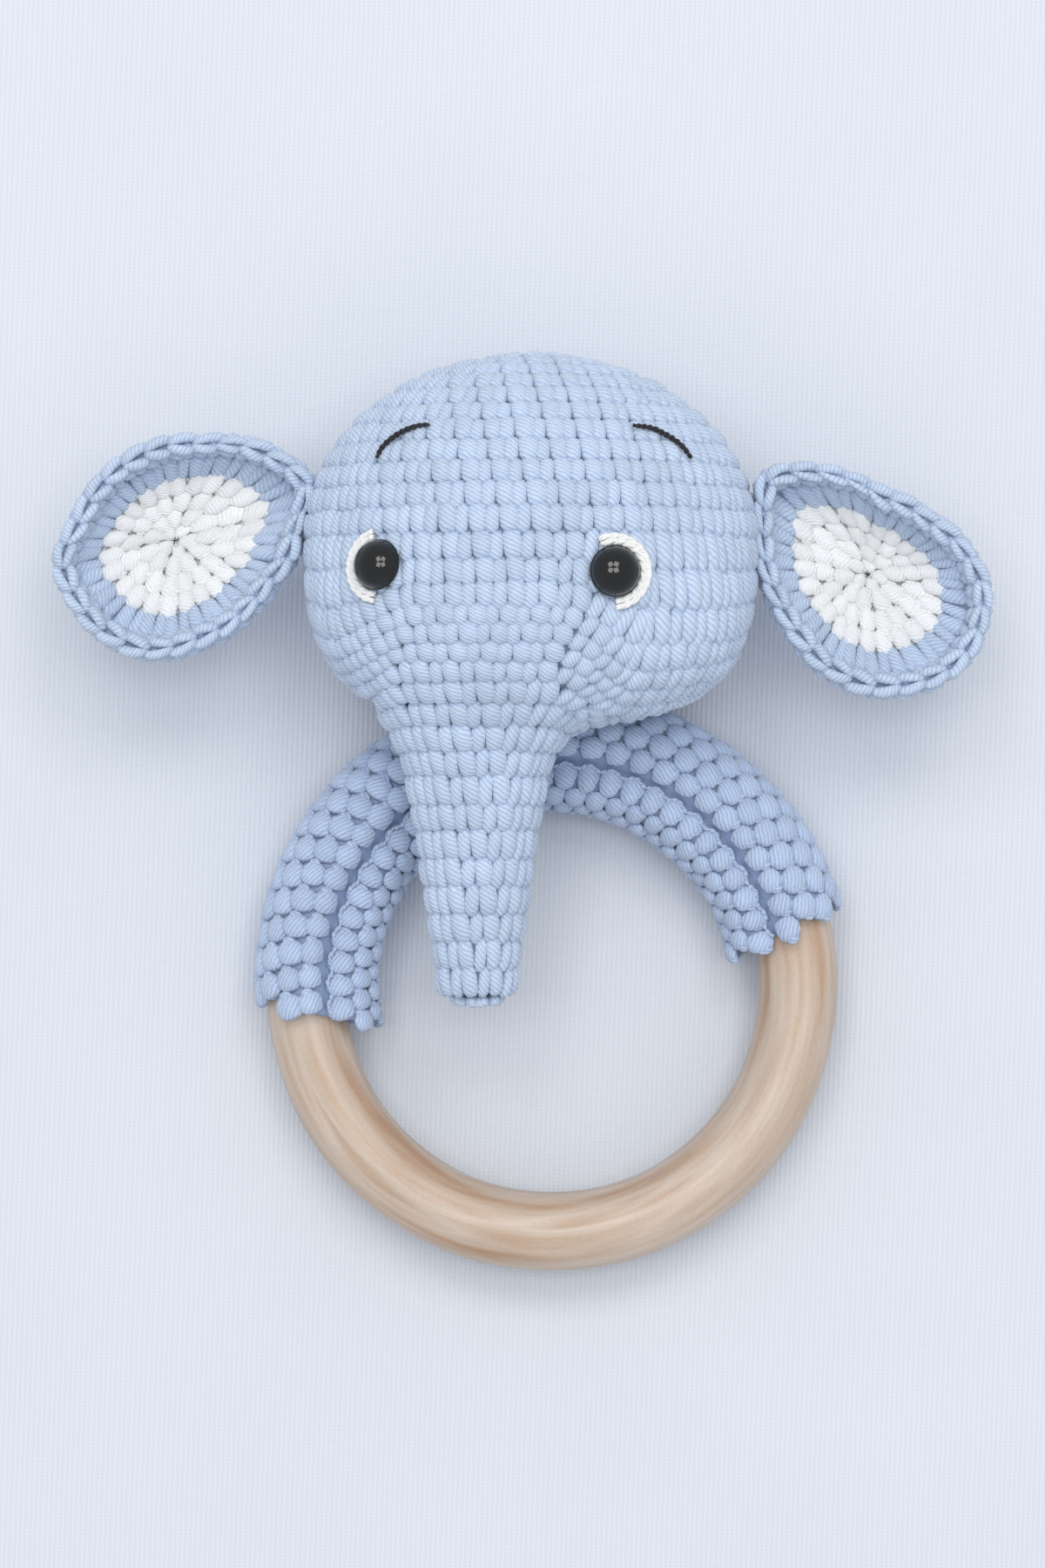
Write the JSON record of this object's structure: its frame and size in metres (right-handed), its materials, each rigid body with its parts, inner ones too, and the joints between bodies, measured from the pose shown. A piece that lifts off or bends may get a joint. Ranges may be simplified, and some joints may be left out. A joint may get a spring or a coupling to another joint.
{
  "type": "crocheted elephant ring rattle",
  "caption": "Soft crocheted elephant head with cupped ears and a trunk, sewn by a crocheted sleeve to a smooth wooden grip ring, with a rattle ball inside.",
  "frame": {"origin": "middle of the flat at the back of the head, which the toy lies on", "axes": "+Z out of the face, +Y to the crown, so the ring lies towards -Y and the ears towards -X and +X"},
  "size_m": [0.1144, 0.1107, 0.0469],
  "materials": {
    "blue_yarn": "pale blue cotton yarn in single crochet",
    "white_yarn": "natural white cotton yarn in single crochet",
    "black_thread": "black embroidery thread",
    "stuffing": "loose polyester fibre",
    "beech_ring": "turned, sanded and oiled",
    "eye_plastic": "moulded, high gloss",
    "washer_plastic": "moulded, satin",
    "rattle_plastic": "moulded, gloss",
    "bead_plastic": "moulded, gloss"
  },
  "bodies": {
    "head": {"head_skin": "blue_yarn", "stuffing_front": "stuffing", "stuffing_back": "stuffing", "rattle_shell_top": "rattle_plastic", "rattle_shell_bottom": "rattle_plastic", "eye_left": "eye_plastic", "eye_right": "eye_plastic", "eye_washer_left": "washer_plastic", "eye_washer_right": "washer_plastic", "eye_white_left": "white_yarn", "eye_white_right": "white_yarn", "brow_left": "black_thread", "brow_right": "black_thread", "neck_seam_yarn": "blue_yarn", "ear_seam_left": "blue_yarn", "ear_seam_right": "blue_yarn"},
    "trunk": {"trunk_skin": "blue_yarn", "trunk_stuffing": "stuffing"},
    "ear_left": {"ear_back_left": "blue_yarn", "ear_lining_left": "white_yarn", "ear_edge_left": "blue_yarn"},
    "ear_right": {"ear_back_right": "blue_yarn", "ear_lining_right": "white_yarn", "ear_edge_right": "blue_yarn"},
    "sleeve": {"ring_sleeve": "blue_yarn", "sleeve_lacing": "blue_yarn"},
    "ring": {"wooden_ring": "beech_ring"},
    "bead_1": {"rattle_bead_1": "bead_plastic"},
    "bead_2": {"rattle_bead_2": "bead_plastic"},
    "bead_3": {"rattle_bead_3": "bead_plastic"},
    "bead_4": {"rattle_bead_4": "bead_plastic"}
  },
  "joints": [
    {"name": "trunk_lift", "type": "hinge", "parent": "head", "child": "trunk", "pos_m": [-0.0064, -0.0196, 0.027], "axis": [-1, 0, 0], "range_deg": [0, 40], "stiffness_Nm_per_rad": 0.01},
    {"name": "ear_left_flap", "type": "hinge", "parent": "head", "child": "ear_left", "pos_m": [-0.02595, 0.0064, 0.0245], "axis": [0.345, 0.9386, 0], "range_deg": [-15, 35], "stiffness_Nm_per_rad": 0.006},
    {"name": "ear_right_flap", "type": "hinge", "parent": "head", "child": "ear_right", "pos_m": [0.02488, 0.0088, 0.0245], "axis": [0.4663, -0.8846, 0], "range_deg": [-15, 35], "stiffness_Nm_per_rad": 0.006},
    {"name": "neck_rock", "type": "hinge", "parent": "head", "child": "sleeve", "pos_m": [0.0026, -0.0247, 0.0077], "axis": [1, 0, 0], "range_deg": [0, 20], "stiffness_Nm_per_rad": 0.06},
    {"name": "ring_turn", "type": "hinge", "parent": "sleeve", "child": "ring", "pos_m": [0.0026, -0.0536, 0.0077], "axis": [0, 0, 1], "continuous": true},
    {"name": "bead_1_shake", "type": "slide", "parent": "head", "child": "bead_1", "axis": [0, 0, 1], "range_m": [0, 0.0095]},
    {"name": "bead_2_shake", "type": "slide", "parent": "head", "child": "bead_2", "axis": [0, 0, 1], "range_m": [0, 0.0095]},
    {"name": "bead_3_shake", "type": "slide", "parent": "head", "child": "bead_3", "axis": [0, 0, 1], "range_m": [0, 0.0095]},
    {"name": "bead_4_shake", "type": "slide", "parent": "head", "child": "bead_4", "axis": [0, 0, 1], "range_m": [0, 0.0095]}
  ]
}
